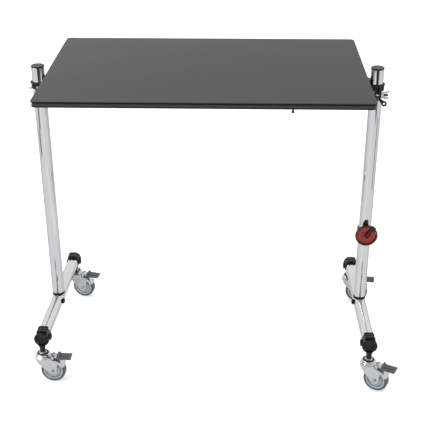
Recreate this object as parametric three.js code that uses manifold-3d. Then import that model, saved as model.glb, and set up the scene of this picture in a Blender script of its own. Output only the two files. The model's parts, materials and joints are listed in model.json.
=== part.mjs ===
// Height-adjustable grooming table on two wheeled T-legs.
//
// Frame: millimetres, +Z up, the front edge of the table faces -Y.
// While the parts are made, x = 0 is midway between the columns, y = 0 is the
// plane of the column axes and z = 0 is the floor. At the end the whole group
// is shifted so that the origin is the bottom centre of its bounding box.

import * as THREE from 'three';
import { mergeVertices } from 'three/addons/utils/BufferGeometryUtils.js';
import Module from 'manifold-3d';

const wasm = await Module();
wasm.setup();

// ---------------------------------------------------------------- dimensions

const GAP = 0.3;                  // clearance between neighbouring pieces

const TUBE_RADIUS = 21.2;         // 42.4 mm tube, columns and feet alike
const TUBE_WALL = 2;
const COLUMN_X = 543.3;             // column axes at x = +-COLUMN_X
const COLUMN_BOTTOM = 188;
const COLUMN_TOP = 1036;
const CAP_HEIGHT = 5;

const FOOT_AXIS_Z = 162.4;
const FOOT_END_Y = 280;           // outer faces of the black end sleeves
const SLEEVE_RADIUS = 26;
const SLEEVE_LENGTH = 42;
const SLEEVE_DISC = 6;            // thickness of the closed end of a sleeve
const STEM_Y = 276;               // caster stem axes at y = +-STEM_Y

const TABLE_WIDTH = 1000;
const TABLE_DEPTH = 646.6;
const TABLE_CENTRE_Y = -17;
const TABLE_TOP = 1037.5;
const PANEL_THICKNESS = 7;        // upper panel with the rolled edge
const CORE_THICKNESS = 9.5;
const SHEET_THICKNESS = 2.4;      // black backing sheet
const CORNER_RADIUS = 15;

const RAIL_X = 455;               // side rails under the table
const RAIL_WIDTH = 40;
const RAIL_HEIGHT = 22;
const RAIL_LENGTH = 520;

const CLAMP_TOP = 983;
const CLAMP_BOTTOM = 962;
const CLAMP_RADIUS = 25.3;
const LIP_OUT = 1.7;              // collar round the top of the clamp ring
const LINER_WALL = 1;
const BOLT_Y = -36;
const BOLT_Z = 956;
const BOLT_RADIUS = 4;

const CRANK_X = 544.5;
const CRANK_Z = 450.4;
const CRANK_RADIUS = 38.2;
const GRIP_ANGLE = 55;            // direction of the folded grip, up from +X
const GRIP_HINGE = 29;            // hinge of the grip, out from the wheel's centre

const WHEEL_RADIUS = 42;
const WHEEL_WIDTH = 25;
const TYRE_DEPTH = 9;
const TRAIL = 32;                 // wheel axle behind the swivel axis
const NECK_BOTTOM = 117;

// Each leg is turned a little about its column, front end outwards. Degrees
// about +Z.
const LEG_TURN = { left: -2.2, right: 0.9 };

// The foot tube sits this far towards the back in its saddle.
const FOOT_SHIFT = { left: 4, right: -7 };

// Trailing direction of each caster, in degrees from +X.
const CASTERS = [
  { name: 'front_left', side: -1, end: -1, heading: -2 },
  { name: 'front_right', side: 1, end: -1, heading: -27 },
  { name: 'rear_left', side: -1, end: 1, heading: -12 },
  { name: 'rear_right', side: 1, end: 1, heading: -8 },
];

// ----------------------------------------------------------------- materials

const finish = (color, roughness, metalness) =>
  new THREE.MeshStandardMaterial({ color, roughness, metalness });

const chrome = finish(0xd8dade, 0.08, 1);
const zinc = finish(0xc9cccf, 0.3, 0.9);
const steel = finish(0x8f9194, 0.4, 0.9);
const blackPlastic = finish(0x161617, 0.3, 0);
const blackCasting = finish(0x141415, 0.45, 0.2);
const topLaminate = finish(0x5f6062, 0.6, 0);
const coreLaminate = finish(0x4a4b4d, 0.6, 0);
const backing = finish(0x111112, 0.6, 0);
const nylon = finish(0x1c1c1d, 0.5, 0);
const tyreRubber = finish(0x4b4f54, 0.7, 0);
const rimPlastic = finish(0xaab2b8, 0.45, 0);
const pedalPlastic = finish(0x6c6e70, 0.55, 0);
const redPlastic = finish(0x9c1c20, 0.3, 0);
const darkRed = finish(0x5a1215, 0.3, 0);
const crankBlack = finish(0x1e1e1a, 0.35, 0);

// --------------------------------------------------- solids and basic shapes

// A closed three.js geometry as a solid, without its zero-area triangles.
function solidOf(geometry) {
  const bare = geometry.clone();
  bare.deleteAttribute('normal');
  bare.deleteAttribute('uv');
  const merged = mergeVertices(bare, 1e-4);
  const index = merged.index.array;
  const kept = [];
  for (let i = 0; i < index.length; i += 3) {
    const [a, b, c] = [index[i], index[i + 1], index[i + 2]];
    if (a !== b && b !== c && c !== a) kept.push(a, b, c);
  }
  return new wasm.Manifold(new wasm.Mesh({
    numProp: 3,
    vertProperties: Float32Array.from(merged.attributes.position.array),
    triVerts: Uint32Array.from(kept),
  }));
}

function geometryOf(solid) {
  const mesh = solid.getMesh();
  const geometry = new THREE.BufferGeometry();
  geometry.setAttribute('position', new THREE.BufferAttribute(mesh.vertProperties, 3));
  geometry.setIndex(new THREE.BufferAttribute(mesh.triVerts, 1));
  geometry.computeVertexNormals();
  return geometry;
}

const join = (first, ...others) => others.reduce((sum, next) => sum.add(next), first);
const cut = (first, ...others) => others.reduce((rest, next) => rest.subtract(next), first);

// Turn a geometry made along +Z so that it runs along the given axis.
function turnToAxis(geometry, axis) {
  if (axis === 'x') geometry.rotateY(Math.PI / 2);
  if (axis === 'y') geometry.rotateX(-Math.PI / 2);
  return geometry;
}

// A cylinder, or a cone with two radii, along an axis and centred on a point.
function rod(radius, length, axis, centre, segments = 16, endRadius = radius) {
  const geometry = new THREE.CylinderGeometry(endRadius, radius, length, segments);
  geometry.rotateX(Math.PI / 2);
  turnToAxis(geometry, axis);
  geometry.translate(...centre);
  return solidOf(geometry);
}

function box(size, centre) {
  const geometry = new THREE.BoxGeometry(...size);
  geometry.translate(...centre);
  return solidOf(geometry);
}

// A closed [radius, height] outline turned about the axis through a point.
// The outline runs up the outside, so its faces point out.
function turned(outline, axis, centre, segments = 24) {
  const points = outline.map(([radius, height]) => new THREE.Vector2(radius, height));
  const onAxis = outline[0][0] === 0 && outline[outline.length - 1][0] === 0;
  if (!onAxis) points.push(points[0].clone());
  const geometry = new THREE.LatheGeometry(points, segments);
  geometry.rotateX(Math.PI / 2);
  turnToAxis(geometry, axis);
  geometry.translate(...centre);
  return solidOf(geometry);
}

// A tube along an axis.
const pipe = (outer, inner, length, axis, centre, segments = 28) => turned([
  [inner, -length / 2], [outer, -length / 2], [outer, length / 2], [inner, length / 2],
], axis, centre, segments);

// A flat outline in X and Z, given a thickness along Y about y = middle.
function upright(outline, thickness, middle, curveSegments = 8) {
  const geometry = new THREE.ExtrudeGeometry(outline, {
    depth: thickness, bevelEnabled: false, curveSegments,
  });
  geometry.rotateX(Math.PI / 2);
  geometry.translate(0, middle + thickness / 2, 0);
  return solidOf(geometry);
}

// A rectangle with round corners about the origin.
function roundedRectangle(width, depth, radius) {
  const [a, b] = [width / 2, depth / 2];
  const shape = new THREE.Shape();
  shape.moveTo(a, -b + radius);
  shape.absarc(a - radius, b - radius, radius, 0, Math.PI / 2);
  shape.absarc(-a + radius, b - radius, radius, Math.PI / 2, Math.PI);
  shape.absarc(-a + radius, -b + radius, radius, Math.PI, Math.PI * 1.5);
  shape.absarc(a - radius, -b + radius, radius, Math.PI * 1.5, Math.PI * 2);
  return shape;
}

// A flat slab with round corners. With an edge radius, its rim is rounded.
function slab(width, depth, thickness, corner, edge, bottom) {
  const shape = roundedRectangle(width - 2 * edge, depth - 2 * edge, corner - edge);
  const geometry = new THREE.ExtrudeGeometry(shape, {
    depth: thickness - 2 * edge,
    bevelEnabled: edge > 0,
    bevelThickness: edge,
    bevelSize: edge,
    bevelSegments: 2,
    curveSegments: 4,
  });
  geometry.translate(0, TABLE_CENTRE_Y, bottom + edge);
  return solidOf(geometry);
}

const group = new THREE.Group();

function add(name, solid, material, parent = group) {
  const mesh = new THREE.Mesh(geometryOf(solid), material);
  mesh.name = name;
  parent.add(mesh);
}

const sideName = (side) => (side < 0 ? 'left' : 'right');

// Each leg is made about its own column axis, then stood in place and turned.
const legs = {};
const feet = {};
for (const side of [-1, 1]) {
  const leg = new THREE.Group();
  leg.position.x = side * COLUMN_X;
  leg.rotation.z = THREE.MathUtils.degToRad(LEG_TURN[sideName(side)]);
  group.add(leg);
  legs[side] = leg;
  const foot = new THREE.Group();
  foot.position.y = FOOT_SHIFT[sideName(side)];
  leg.add(foot);
  feet[side] = foot;
}

// --------------------------------------------------------------------- table

const PANEL_BOTTOM = TABLE_TOP - PANEL_THICKNESS;
const CORE_BOTTOM = PANEL_BOTTOM - GAP - CORE_THICKNESS;
const SHEET_BOTTOM = CORE_BOTTOM - GAP - SHEET_THICKNESS;
const RAIL_TOP = SHEET_BOTTOM - GAP;

function makeTable() {
  const edge = 2.6;
  const inset = 9;
  const panel = slab(TABLE_WIDTH, TABLE_DEPTH, PANEL_THICKNESS, CORNER_RADIUS, edge, PANEL_BOTTOM);
  const core = slab(TABLE_WIDTH - inset, TABLE_DEPTH - inset, CORE_THICKNESS, CORNER_RADIUS, 0,
    CORE_BOTTOM);
  const sheet = slab(TABLE_WIDTH - inset + 2, TABLE_DEPTH - inset + 2, SHEET_THICKNESS,
    CORNER_RADIUS, 0, SHEET_BOTTOM);
  add('top_panel', panel, topLaminate);
  add('top_core', core, coreLaminate);
  add('backing_sheet', sheet, backing);
}

// A turned hook peg hangs under the front edge, right of the middle.
function makePeg() {
  const frontEdge = TABLE_CENTRE_Y - TABLE_DEPTH / 2;
  const peg = turned([
    [0, -16], [2.5, -16], [4.6, -14.5], [4.6, -11.5], [3, -10], [3, -4], [8, -3], [8, 0], [0, 0],
  ], 'z', [260, frontEdge + 18, RAIL_TOP], 16);
  add('hook_peg', peg, blackPlastic);
}

// A steel channel along each side carries the clamp's arm.
function makeRail(side) {
  const wall = 3;
  const outer = box([RAIL_WIDTH, RAIL_LENGTH, RAIL_HEIGHT],
    [side * RAIL_X, 0, RAIL_TOP - RAIL_HEIGHT / 2]);
  const hollow = box([RAIL_WIDTH - 2 * wall, RAIL_LENGTH + 2, RAIL_HEIGHT - 2 * wall],
    [side * RAIL_X, 0, RAIL_TOP - RAIL_HEIGHT / 2]);
  add(`side_rail_${sideName(side)}`, cut(outer, hollow), steel);
}

// -------------------------------------------------------------------- clamps

// The clamps are one casting used twice: it is made in place on the right
// column and turned end for end about Z for the left one.
const endForEnd = (side, solid) => (side > 0 ? solid : solid.rotate([0, 0, 180]));

const EAR_HALF = 10.5;
const EAR_FRONT = BOLT_Y - 8;
const EAR_TOP = CLAMP_TOP - 1;
const EAR_BOTTOM = BOLT_Z - 8;
const NUT_SEAT = EAR_HALF + GAP;

const HINGE_Y = CLAMP_RADIUS + 3.5;          // middle of the lug behind the ring
const HINGE_Z = CLAMP_TOP - 11.5;
const HINGE_PIN_RADIUS = 2;

// A split ring around the column, closed by a cross bolt through two ears,
// with a hinge lug opposite the split and an arm to the rail under the table.
function makeClamp(side) {
  const middle = (CLAMP_TOP + CLAMP_BOTTOM) / 2;
  const height = CLAMP_TOP - CLAMP_BOTTOM;
  const bore = TUBE_RADIUS + GAP + LINER_WALL + GAP;

  const ring = rod(CLAMP_RADIUS, height, 'z', [COLUMN_X, 0, middle], 28);
  const lip = rod(CLAMP_RADIUS + LIP_OUT, 5, 'z', [COLUMN_X, 0, CLAMP_TOP - 2.5], 28);
  const ears = box([2 * EAR_HALF, -EAR_FRONT - 16, EAR_TOP - EAR_BOTTOM],
    [COLUMN_X, (EAR_FRONT - 16) / 2, (EAR_TOP + EAR_BOTTOM) / 2]);
  const lug = box([14, 9, 15], [COLUMN_X, HINGE_Y - 2, HINGE_Z]);
  const tab = box([4, 4, 24], [COLUMN_X + 6, HINGE_Y - 1.5, HINGE_Z - 8]);
  const armInner = RAIL_X - RAIL_WIDTH / 2 - 6;
  const armOuter = COLUMN_X - 20;
  const armTop = RAIL_TOP - RAIL_HEIGHT - GAP;
  const armBottom = CLAMP_BOTTOM + 3;
  const arm = box([armOuter - armInner, 40, armTop - armBottom],
    [(armOuter + armInner) / 2, 0, (armTop + armBottom) / 2]);
  const [eyeLink, eyeRing] = tetherEye(COLUMN_X + EAR_HALF - 2, EAR_FRONT + 4, EAR_BOTTOM);

  const slit = box([4, 42, height + 40], [COLUMN_X, -38, middle]);
  const window = box([12, 14, 11], [COLUMN_X, BOLT_Y - 3, BOLT_Z]);
  const columnHole = rod(bore, height + 40, 'z', [COLUMN_X, 0, middle], 28);
  const boltHole = rod(BOLT_RADIUS + GAP, 60, 'x', [COLUMN_X, BOLT_Y, BOLT_Z], 12);
  const pinHole = rod(HINGE_PIN_RADIUS + GAP, 20, 'y', [COLUMN_X, HINGE_Y, HINGE_Z], 10);
  const eyeHole = tetherHole(COLUMN_X + EAR_HALF - 2, EAR_FRONT + 4, EAR_BOTTOM);
  const body = cut(join(ring, lip, ears, lug, tab, arm, eyeLink, eyeRing),
    columnHole, slit, window, boltHole, pinHole, eyeHole);
  add(`clamp_body_${sideName(side)}`, endForEnd(side, body), blackCasting);

  const liner = cut(
    pipe(bore - GAP, TUBE_RADIUS + GAP, height, 'z', [COLUMN_X, 0, middle], 28),
    box([3.4, 30, height + 2], [COLUMN_X, -24, middle]),
  );
  add(`clamp_liner_${sideName(side)}`, endForEnd(side, liner), nylon);

  const pinEnd = HINGE_Y + 2.5 + GAP;
  const pin = join(
    rod(HINGE_PIN_RADIUS, 4, 'y', [COLUMN_X, pinEnd - 1.5, HINGE_Z], 10),
    rod(3.3, 1.6, 'y', [COLUMN_X, pinEnd + 0.8, HINGE_Z], 14),
  );
  add(`hinge_pin_${sideName(side)}`, endForEnd(side, pin), zinc);
}

// The eye below the clamp's outer ear that a lead or a tool hook clips into.
const EYE_OUT = 14;
const EYE_DROP = 20;
const eyeCentre = (x, y, z) => [x + EYE_OUT, y, z - EYE_DROP];

function tetherEye(x, y, z) {
  const [cx, cy, cz] = eyeCentre(x, y, z);
  const link = new THREE.Shape();
  link.moveTo(x - 8, z + 4);
  link.lineTo(x - 4, z - 8);
  link.lineTo(cx - 6, cz - 4);
  link.lineTo(cx + 3, cz + 7);
  link.lineTo(x + 1, z - 3);
  link.lineTo(x + 1, z + 4);
  link.closePath();
  return [upright(link, 6, cy), rod(9, 6, 'y', [cx, cy, cz], 20)];
}

const tetherHole = (x, y, z) => rod(3.6, 20, 'y', eyeCentre(x, y, z), 14);

// The cross bolt has a round head on the table's side, and its thread end
// stands out of the wing nut.
function makeBolt(side) {
  const shank = rod(BOLT_RADIUS, 46, 'x', [COLUMN_X + 11, BOLT_Y, BOLT_Z], 12);
  const button = rod(7, 4, 'x', [COLUMN_X - NUT_SEAT - 2, BOLT_Y, BOLT_Z], 16);
  add(`clamp_bolt_${sideName(side)}`, endForEnd(side, join(shank, button)), zinc);
}

// Hub with a skirt and two wings that flare away from the clamp. Each nut
// stopped at its own angle about the bolt, and the left one is backed off.
const NUT_TURN = { left: 60, right: 18 };
const NUT_OUT = { left: 5, right: 0 };

function makeWingNut(side) {
  const hub = rod(9, 9, 'x', [NUT_SEAT + 4.5, 0, 0], 16, 7.5);
  const wing = new THREE.Shape();
  wing.moveTo(NUT_SEAT + 3, 2);
  wing.lineTo(NUT_SEAT + 11, 2);
  wing.lineTo(NUT_SEAT + 15, 7);
  wing.quadraticCurveTo(NUT_SEAT + 26, 8, NUT_SEAT + 27.5, 12.5);
  wing.quadraticCurveTo(NUT_SEAT + 26, 17, NUT_SEAT + 17, 15.5);
  wing.quadraticCurveTo(NUT_SEAT + 8, 13, NUT_SEAT + 3, 7);
  wing.closePath();
  const upper = upright(wing, 4.4, 0, 4);
  const bore = rod(BOLT_RADIUS + GAP, 80, 'x', [0, 0, 0], 12);
  const nut = cut(join(hub, upper, upper.rotate([180, 0, 0])), bore)
    .rotate([NUT_TURN[sideName(side)], 0, 0])
    .translate([COLUMN_X + NUT_OUT[sideName(side)], BOLT_Y, BOLT_Z]);
  add(`wing_nut_${sideName(side)}`, endForEnd(side, nut), zinc);
}

// ---------------------------------------------------------------------- legs

function makeColumn(side) {
  const top = COLUMN_TOP - CAP_HEIGHT;
  const length = top - COLUMN_BOTTOM;
  const bore = TUBE_RADIUS - TUBE_WALL;
  add(`column_tube_${sideName(side)}`,
    pipe(TUBE_RADIUS, bore, length, 'z', [0, 0, COLUMN_BOTTOM + length / 2], 28), chrome,
    legs[side]);

  const cap = turned([
    [0, -16], [bore - 1.5, -16], [bore - GAP, -14], [bore - GAP, GAP], [TUBE_RADIUS + 0.3, GAP],
    [TUBE_RADIUS + 0.3, CAP_HEIGHT - 1.5], [TUBE_RADIUS - 1.2, CAP_HEIGHT], [0, CAP_HEIGHT],
  ], 'z', [0, 0, top], 24);
  add(`column_cap_${sideName(side)}`, cap, blackPlastic, legs[side]);
}

// The saddle is cut to the foot tube below it and its tenon fills the column.
function makeSaddle(side) {
  const saddle = turned([
    [0, FOOT_AXIS_Z], [TUBE_RADIUS + 0.8, FOOT_AXIS_Z], [TUBE_RADIUS + 0.8, COLUMN_BOTTOM - GAP],
    [TUBE_RADIUS - TUBE_WALL - GAP, COLUMN_BOTTOM - GAP],
    [TUBE_RADIUS - TUBE_WALL - GAP, COLUMN_BOTTOM + 25], [0, COLUMN_BOTTOM + 25],
  ], 'z', [0, 0, 0], 24);
  const visibleHeight = 10;
  const below = box([80, 80, 40], [0, 0, COLUMN_BOTTOM - visibleHeight - 20]);
  const foot = rod(TUBE_RADIUS + GAP, 100, 'y', [0, 0, FOOT_AXIS_Z], 28);
  add(`column_saddle_${sideName(side)}`, cut(saddle, below, foot), blackPlastic, legs[side]);
}

const SCREW_CAP_Y = { left: -37, right: -6 };

function makeFoot(side) {
  const half = FOOT_END_Y - SLEEVE_DISC - GAP;
  const tube = pipe(TUBE_RADIUS, TUBE_RADIUS - TUBE_WALL, 2 * half, 'y', [0, 0, FOOT_AXIS_Z], 28);
  add(`foot_tube_${sideName(side)}`, tube, chrome, feet[side]);

  // Domed cap of the screw that ties the saddle to the foot, on the inner side.
  const knob = turned([
    [0, 0], [10, 0], [10, 4.5], [8.5, 6.8], [0, 7.4],
  ], 'x', [0, 0, 0], 14);
  const facing = side > 0 ? 180 : 0;
  const placed = knob.rotate([0, facing, 0])
    .translate([-side * (TUBE_RADIUS + GAP), SCREW_CAP_Y[sideName(side)], FOOT_AXIS_Z + 3]);
  add(`foot_screw_cap_${sideName(side)}`, placed, blackPlastic, feet[side]);
}

// Black end sleeve: a ring over the tube with a closed outer end, a ribbed lug
// on top, a screw boss on the inner side and the neck that takes the caster.
function makeSleeve(caster) {
  const out = caster.end;
  const middle = out * (FOOT_END_Y - SLEEVE_LENGTH / 2);
  const face = out * (FOOT_END_Y - SLEEVE_DISC / 2);
  const top = FOOT_AXIS_Z + SLEEVE_RADIUS;
  const barrel = rod(SLEEVE_RADIUS - 1.5, SLEEVE_LENGTH, 'y', [0, middle, FOOT_AXIS_Z], 24);
  const disc = rod(SLEEVE_RADIUS, SLEEVE_DISC, 'y', [0, face, FOOT_AXIS_Z], 24);
  const lug = box([33, SLEEVE_LENGTH - 10, 10], [0, middle - out * 5, top - 1]);
  const groove = box([40, 3, 4], [0, middle + out * 4, top + 4]);
  const boss = rod(12, 7, 'x',
    [-caster.side * (SLEEVE_RADIUS - 0.5), middle - out * 3, FOOT_AXIS_Z], 14);
  const stemY = out * STEM_Y;
  const funnel = rod(9.5, 14, 'z', [0, stemY, NECK_BOTTOM + 18], 14, 16);
  const neck = rod(9.5, 40, 'z', [0, stemY, NECK_BOTTOM + 20], 14);
  const socket = rod(5 + GAP, 22, 'z', [0, stemY, NECK_BOTTOM + 11 - 0.5], 10);
  const tubeBore = rod(TUBE_RADIUS + GAP, SLEEVE_LENGTH, 'y',
    [0, middle - out * SLEEVE_DISC, FOOT_AXIS_Z], 24);
  const body = cut(join(barrel, disc, lug, boss, funnel, neck), groove, tubeBore, socket);
  add(`end_sleeve_${caster.name}`, body, blackPlastic, feet[caster.side]);
}

// ------------------------------------------------------------------- casters

const HEAD_TOP = NECK_BOTTOM - 8;
const HEAD_BOTTOM = HEAD_TOP - 21;
const PLATE_Y = 15.5;             // middle of each fork plate
const PLATE_THICKNESS = 2.5;
const HEAD_RADIUS = 28;
const FENDER_INNER = WHEEL_RADIUS - 6;       // curved arm of each cheek beside the tyre
const FENDER_OUTER = WHEEL_RADIUS + 4;
const FENDER_SKIN = 2;                       // curved cover that joins the two arms
const FENDER_END = 28;                       // degrees above the axle where it ends
const AXLE_RADIUS = 4;
const PEDAL_PIVOT = [33, HEAD_BOTTOM + 10];  // x and z of the pedal's pin

// Each caster is made with its swivel axis on z and its wheel trailing to +X.
function makeCaster(caster) {
  const turn = new THREE.Group();
  turn.position.set(0, caster.end * STEM_Y, 0);
  turn.rotation.z = THREE.MathUtils.degToRad(caster.heading - LEG_TURN[sideName(caster.side)]);
  feet[caster.side].add(turn);
  const part = (name, solid, material) => add(`${name}_${caster.name}`, solid, material, turn);

  part('caster_stem', makeStem(), zinc);
  part('caster_fork', makeFork(), zinc);
  part('wheel_axle', makeAxle(), steel);
  part('wheel_rim', makeRim(), rimPlastic);
  part('wheel_tyre', makeTyre(), tyreRubber);
  part('brake_pedal', makePedal(), pedalPlastic);
}

// Seal ring, hex nut and the threaded stem that screws into the sleeve's neck.
function makeStem() {
  const seal = rod(20, 2.5, 'z', [0, 0, HEAD_TOP + GAP + 1.25], 16);
  const nut = rod(11, 4.5, 'z', [0, 0, HEAD_TOP + GAP + 2.5 + 2.2], 6);
  const shank = rod(5, 40, 'z', [0, 0, HEAD_TOP + 8], 10);
  return join(seal, nut, shank);
}

function makeFork() {
  const head = turned([
    [0, HEAD_BOTTOM], [HEAD_RADIUS, HEAD_BOTTOM], [HEAD_RADIUS, HEAD_TOP - 8],
    [17, HEAD_TOP], [0, HEAD_TOP],
  ], 'z', [0, 0, 0], 20);
  const plate = new THREE.Shape();
  const fenderEnd = THREE.MathUtils.degToRad(FENDER_END);
  plate.moveTo(-22, HEAD_BOTTOM - 4);
  plate.absarc(TRAIL, WHEEL_RADIUS, 12, -Math.PI * 0.8, 0, false);
  plate.absarc(TRAIL, WHEEL_RADIUS, FENDER_INNER, Math.PI / 3, fenderEnd, true);
  plate.absarc(TRAIL, WHEEL_RADIUS, FENDER_OUTER, fenderEnd, Math.PI / 2, false);
  plate.lineTo(TRAIL - 6, HEAD_BOTTOM + 9);
  plate.lineTo(-22, HEAD_BOTTOM + 10);
  plate.closePath();
  const cheeks = [-1, 1].map((s) => upright(plate, PLATE_THICKNESS, s * PLATE_Y, 4));
  const width = 2 * PLATE_Y + PLATE_THICKNESS;
  const hood = box([33, width, 2.5], [15.5, 0, HEAD_BOTTOM - 1]);
  const arch = new THREE.Shape();
  arch.absarc(TRAIL, WHEEL_RADIUS, FENDER_OUTER, fenderEnd, Math.PI * 0.55, false);
  arch.absarc(TRAIL, WHEEL_RADIUS, FENDER_OUTER - FENDER_SKIN, Math.PI * 0.55, fenderEnd, true);
  arch.closePath();
  const fender = upright(arch, width, 0, 5);
  const shoeSlot = box([14, 18, 16], [PEDAL_PIVOT[0] + 9, 0, HEAD_BOTTOM - 2]);
  const ears = [-1, 1].map((s) => box([9, 2, 12], [PEDAL_PIVOT[0], s * 13.4, HEAD_BOTTOM + 8]));
  const axleHole = rod(AXLE_RADIUS + GAP, 60, 'y', [TRAIL, 0, WHEEL_RADIUS], 10);
  const pinHole = rod(2 + GAP, 60, 'y', [PEDAL_PIVOT[0], 0, PEDAL_PIVOT[1]], 8);
  const stemHole = rod(5 + GAP, 40, 'z', [0, 0, HEAD_TOP], 10);
  const pocket = box([14, 2 * PLATE_Y - 8, 30], [PEDAL_PIVOT[0] + 4, 0, HEAD_BOTTOM + 16]);
  return cut(join(head, ...cheeks, hood, fender, ...ears),
    pocket, shoeSlot, axleHole, pinHole, stemHole);
}

function makeAxle() {
  const reach = PLATE_Y + PLATE_THICKNESS / 2 + GAP;
  const shank = rod(AXLE_RADIUS, 2 * reach + 2, 'y', [TRAIL, 0, WHEEL_RADIUS], 10);
  const heads = [-1, 1].map((s) =>
    rod(6.5, 3.5, 'y', [TRAIL, s * (reach + 1.75), WHEEL_RADIUS], 6));
  return join(shank, ...heads);
}

function makeRim() {
  const half = WHEEL_WIDTH / 2;
  const bore = AXLE_RADIUS + GAP;
  const outer = WHEEL_RADIUS - TYRE_DEPTH;
  return turned([
    [bore, -half - 0.8], [10, -half - 0.8], [10, -half + 3], [outer, -half + 1],
    [outer, half - 1], [10, half - 3], [10, half + 0.8], [bore, half + 0.8],
  ], 'y', [TRAIL, 0, WHEEL_RADIUS], 20);
}

function makeTyre() {
  const half = WHEEL_WIDTH / 2;
  const inner = WHEEL_RADIUS - TYRE_DEPTH + GAP;
  return turned([
    [inner, -half], [WHEEL_RADIUS - 3, -half], [WHEEL_RADIUS, -half + 5],
    [WHEEL_RADIUS, half - 5], [WHEEL_RADIUS - 3, half], [inner, half],
  ], 'y', [TRAIL, 0, WHEEL_RADIUS], 30);
}

// Tread plate, raised heel, tongue and the pin that it rocks on.
function makePedal() {
  const [px, pz] = PEDAL_PIVOT;
  const tread = box([46, 34, 7], [px + 41, 0, pz - 2]);
  const heel = box([9, 34, 13], [px + 20, 0, pz + 0.5]);
  const tongue = box([20, 20, 5], [px + 9, 0, pz - 0.5]);
  const grooves = [29, 35, 41, 47, 53].map((out) => box([2.2, 40, 3], [px + out, 0, pz + 2]));
  const shoe = box([9, 14, 10], [px + 9, 0, pz - 7.5]);
  const pin = rod(2, 29.5, 'y', [px, 0, pz], 8);
  return join(cut(join(tread, heel, tongue, shoe), ...grooves), pin);
}

// --------------------------------------------------------------- crank wheel

const BRACKET_FRONT = -33;
const WHEEL_BACK = BRACKET_FRONT - GAP;
const RECESS_FLOOR = WHEEL_BACK - 4.2;       // the folded grip lies in this recess
const GRIP_Y = RECESS_FLOOR - 6;

function makeCrank() {
  const x = COLUMN_X;
  const ringHeight = 34;
  const ring = pipe(26, TUBE_RADIUS + GAP, ringHeight, 'z', [x, 0, CRANK_Z - 6], 28);
  const bar = new THREE.Shape();
  const half = 9.5;
  const barX = CRANK_X - 2.5;
  bar.moveTo(barX + half, CRANK_Z - 24);
  bar.lineTo(barX + half, CRANK_Z + 36);
  bar.absarc(barX, CRANK_Z + 36, half, 0, Math.PI, false);
  bar.lineTo(barX - half, CRANK_Z - 24);
  bar.closePath();
  const thickness = 10.5;
  const upper = upright(bar, thickness, BRACKET_FRONT + thickness / 2, 6);
  const axleHole = rod(5 + GAP, 30, 'y', [CRANK_X, BRACKET_FRONT, CRANK_Z], 12);
  const columnHole = rod(TUBE_RADIUS + GAP, 120, 'z', [x, 0, CRANK_Z], 28);
  add('crank_bracket', cut(join(ring, upper), columnHole, axleHole), blackCasting);

  const axle = join(
    rod(5, 13.4, 'y', [CRANK_X, BRACKET_FRONT + 1.5, CRANK_Z], 12),
    rod(6.5, 2, 'y', [CRANK_X, RECESS_FLOOR - 1.5, CRANK_Z], 12),
  );
  add('crank_axle', axle, steel);

  // Dished wheel: hub, thin web, raised inner ring and a rolled rim.
  const dish = turned([
    [5 + GAP, 0], [12, 0], [13, 3], [31.5, 3], [31.5, 8], [26, 8.6], [14, 8.6], [12, 12.2],
    [5 + GAP, 12.2],
  ], 'y', [0, 0, 0], 28);
  const rim = turned([
    [32, 1.5], [CRANK_RADIUS - 2, 1.5], [CRANK_RADIUS, 4], [CRANK_RADIUS, 10],
    [CRANK_RADIUS - 2, 12.5], [34, 12.5], [32, 10],
  ], 'y', [0, 0, 0], 28);
  const facing = [180, 0, 0];
  const centre = [CRANK_X, WHEEL_BACK, CRANK_Z];
  const recess = radialBox([GRIP_HINGE + 12, 12, 18], (GRIP_HINGE - 2) / 2, RECESS_FLOOR - 6);
  const rimNotch = radialBox([20, 12, 18], CRANK_RADIUS, GRIP_Y - 1.6);
  add('crank_wheel', cut(dish.rotate(facing).translate(centre), recess), redPlastic);
  add('crank_rim', cut(rim.rotate(facing).translate(centre), rimNotch), darkRed);
}

// A box whose long side points from the wheel's centre towards the grip's hinge.
function radialBox(size, radius, y) {
  return box(size, [radius, 0, 0]).rotate([0, -GRIP_ANGLE, 0]).translate([CRANK_X, y, CRANK_Z]);
}

// The grip folds flat over the hub, or swings out square to the wheel.
function makeGrip() {
  const seat = radialBox([8.6, 7.4, 17], CRANK_RADIUS - 1, GRIP_Y + 0.4);
  const forkGap = radialBox([12, 20, 9], GRIP_HINGE - 1, GRIP_Y);
  const pinHole = rod(1.5 + GAP, 40, 'z', [GRIP_HINGE, 0, 0], 10)
    .rotate([0, -GRIP_ANGLE, 0]).translate([CRANK_X, GRIP_Y, CRANK_Z]);
  const cheeks = radialBox([9, 7.4, 17], GRIP_HINGE + 1.4, GRIP_Y + 0.4);
  add('crank_hinge', cut(join(seat, cheeks), forkGap, pinHole), crankBlack);

  const outline = new THREE.Shape();
  outline.moveTo(GRIP_HINGE, 3.9);
  outline.lineTo(2, 5.6);
  outline.absarc(0, 0, 5.8, Math.PI / 2, Math.PI * 1.5, false);
  outline.lineTo(GRIP_HINGE, -3.9);
  outline.closePath();
  const bar = upright(outline, 6, 0, 6);
  const knuckle = rod(3, 7.8, 'z', [GRIP_HINGE, 0, 0], 16);
  const pin = rod(1.5, 16.6, 'z', [GRIP_HINGE, 0, 0], 10);
  const grip = join(bar, knuckle, pin)
    .rotate([0, -GRIP_ANGLE, 0]).translate([CRANK_X, GRIP_Y, CRANK_Z]);
  add('crank_grip', grip, crankBlack);
}

makeTable();
makePeg();
for (const side of [-1, 1]) {
  makeRail(side);
  makeClamp(side);
  makeBolt(side);
  makeWingNut(side);
  makeColumn(side);
  makeSaddle(side);
  makeFoot(side);
}
for (const caster of CASTERS) {
  makeSleeve(caster);
  makeCaster(caster);
}
makeCrank();
makeGrip();

// Origin at the bottom centre of the bounding box.
group.updateMatrixWorld(true);
const bounds = new THREE.Box3().setFromObject(group);
group.position.set(
  -(bounds.min.x + bounds.max.x) / 2,
  -(bounds.min.y + bounds.max.y) / 2,
  -bounds.min.z,
);

export default group;
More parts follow.
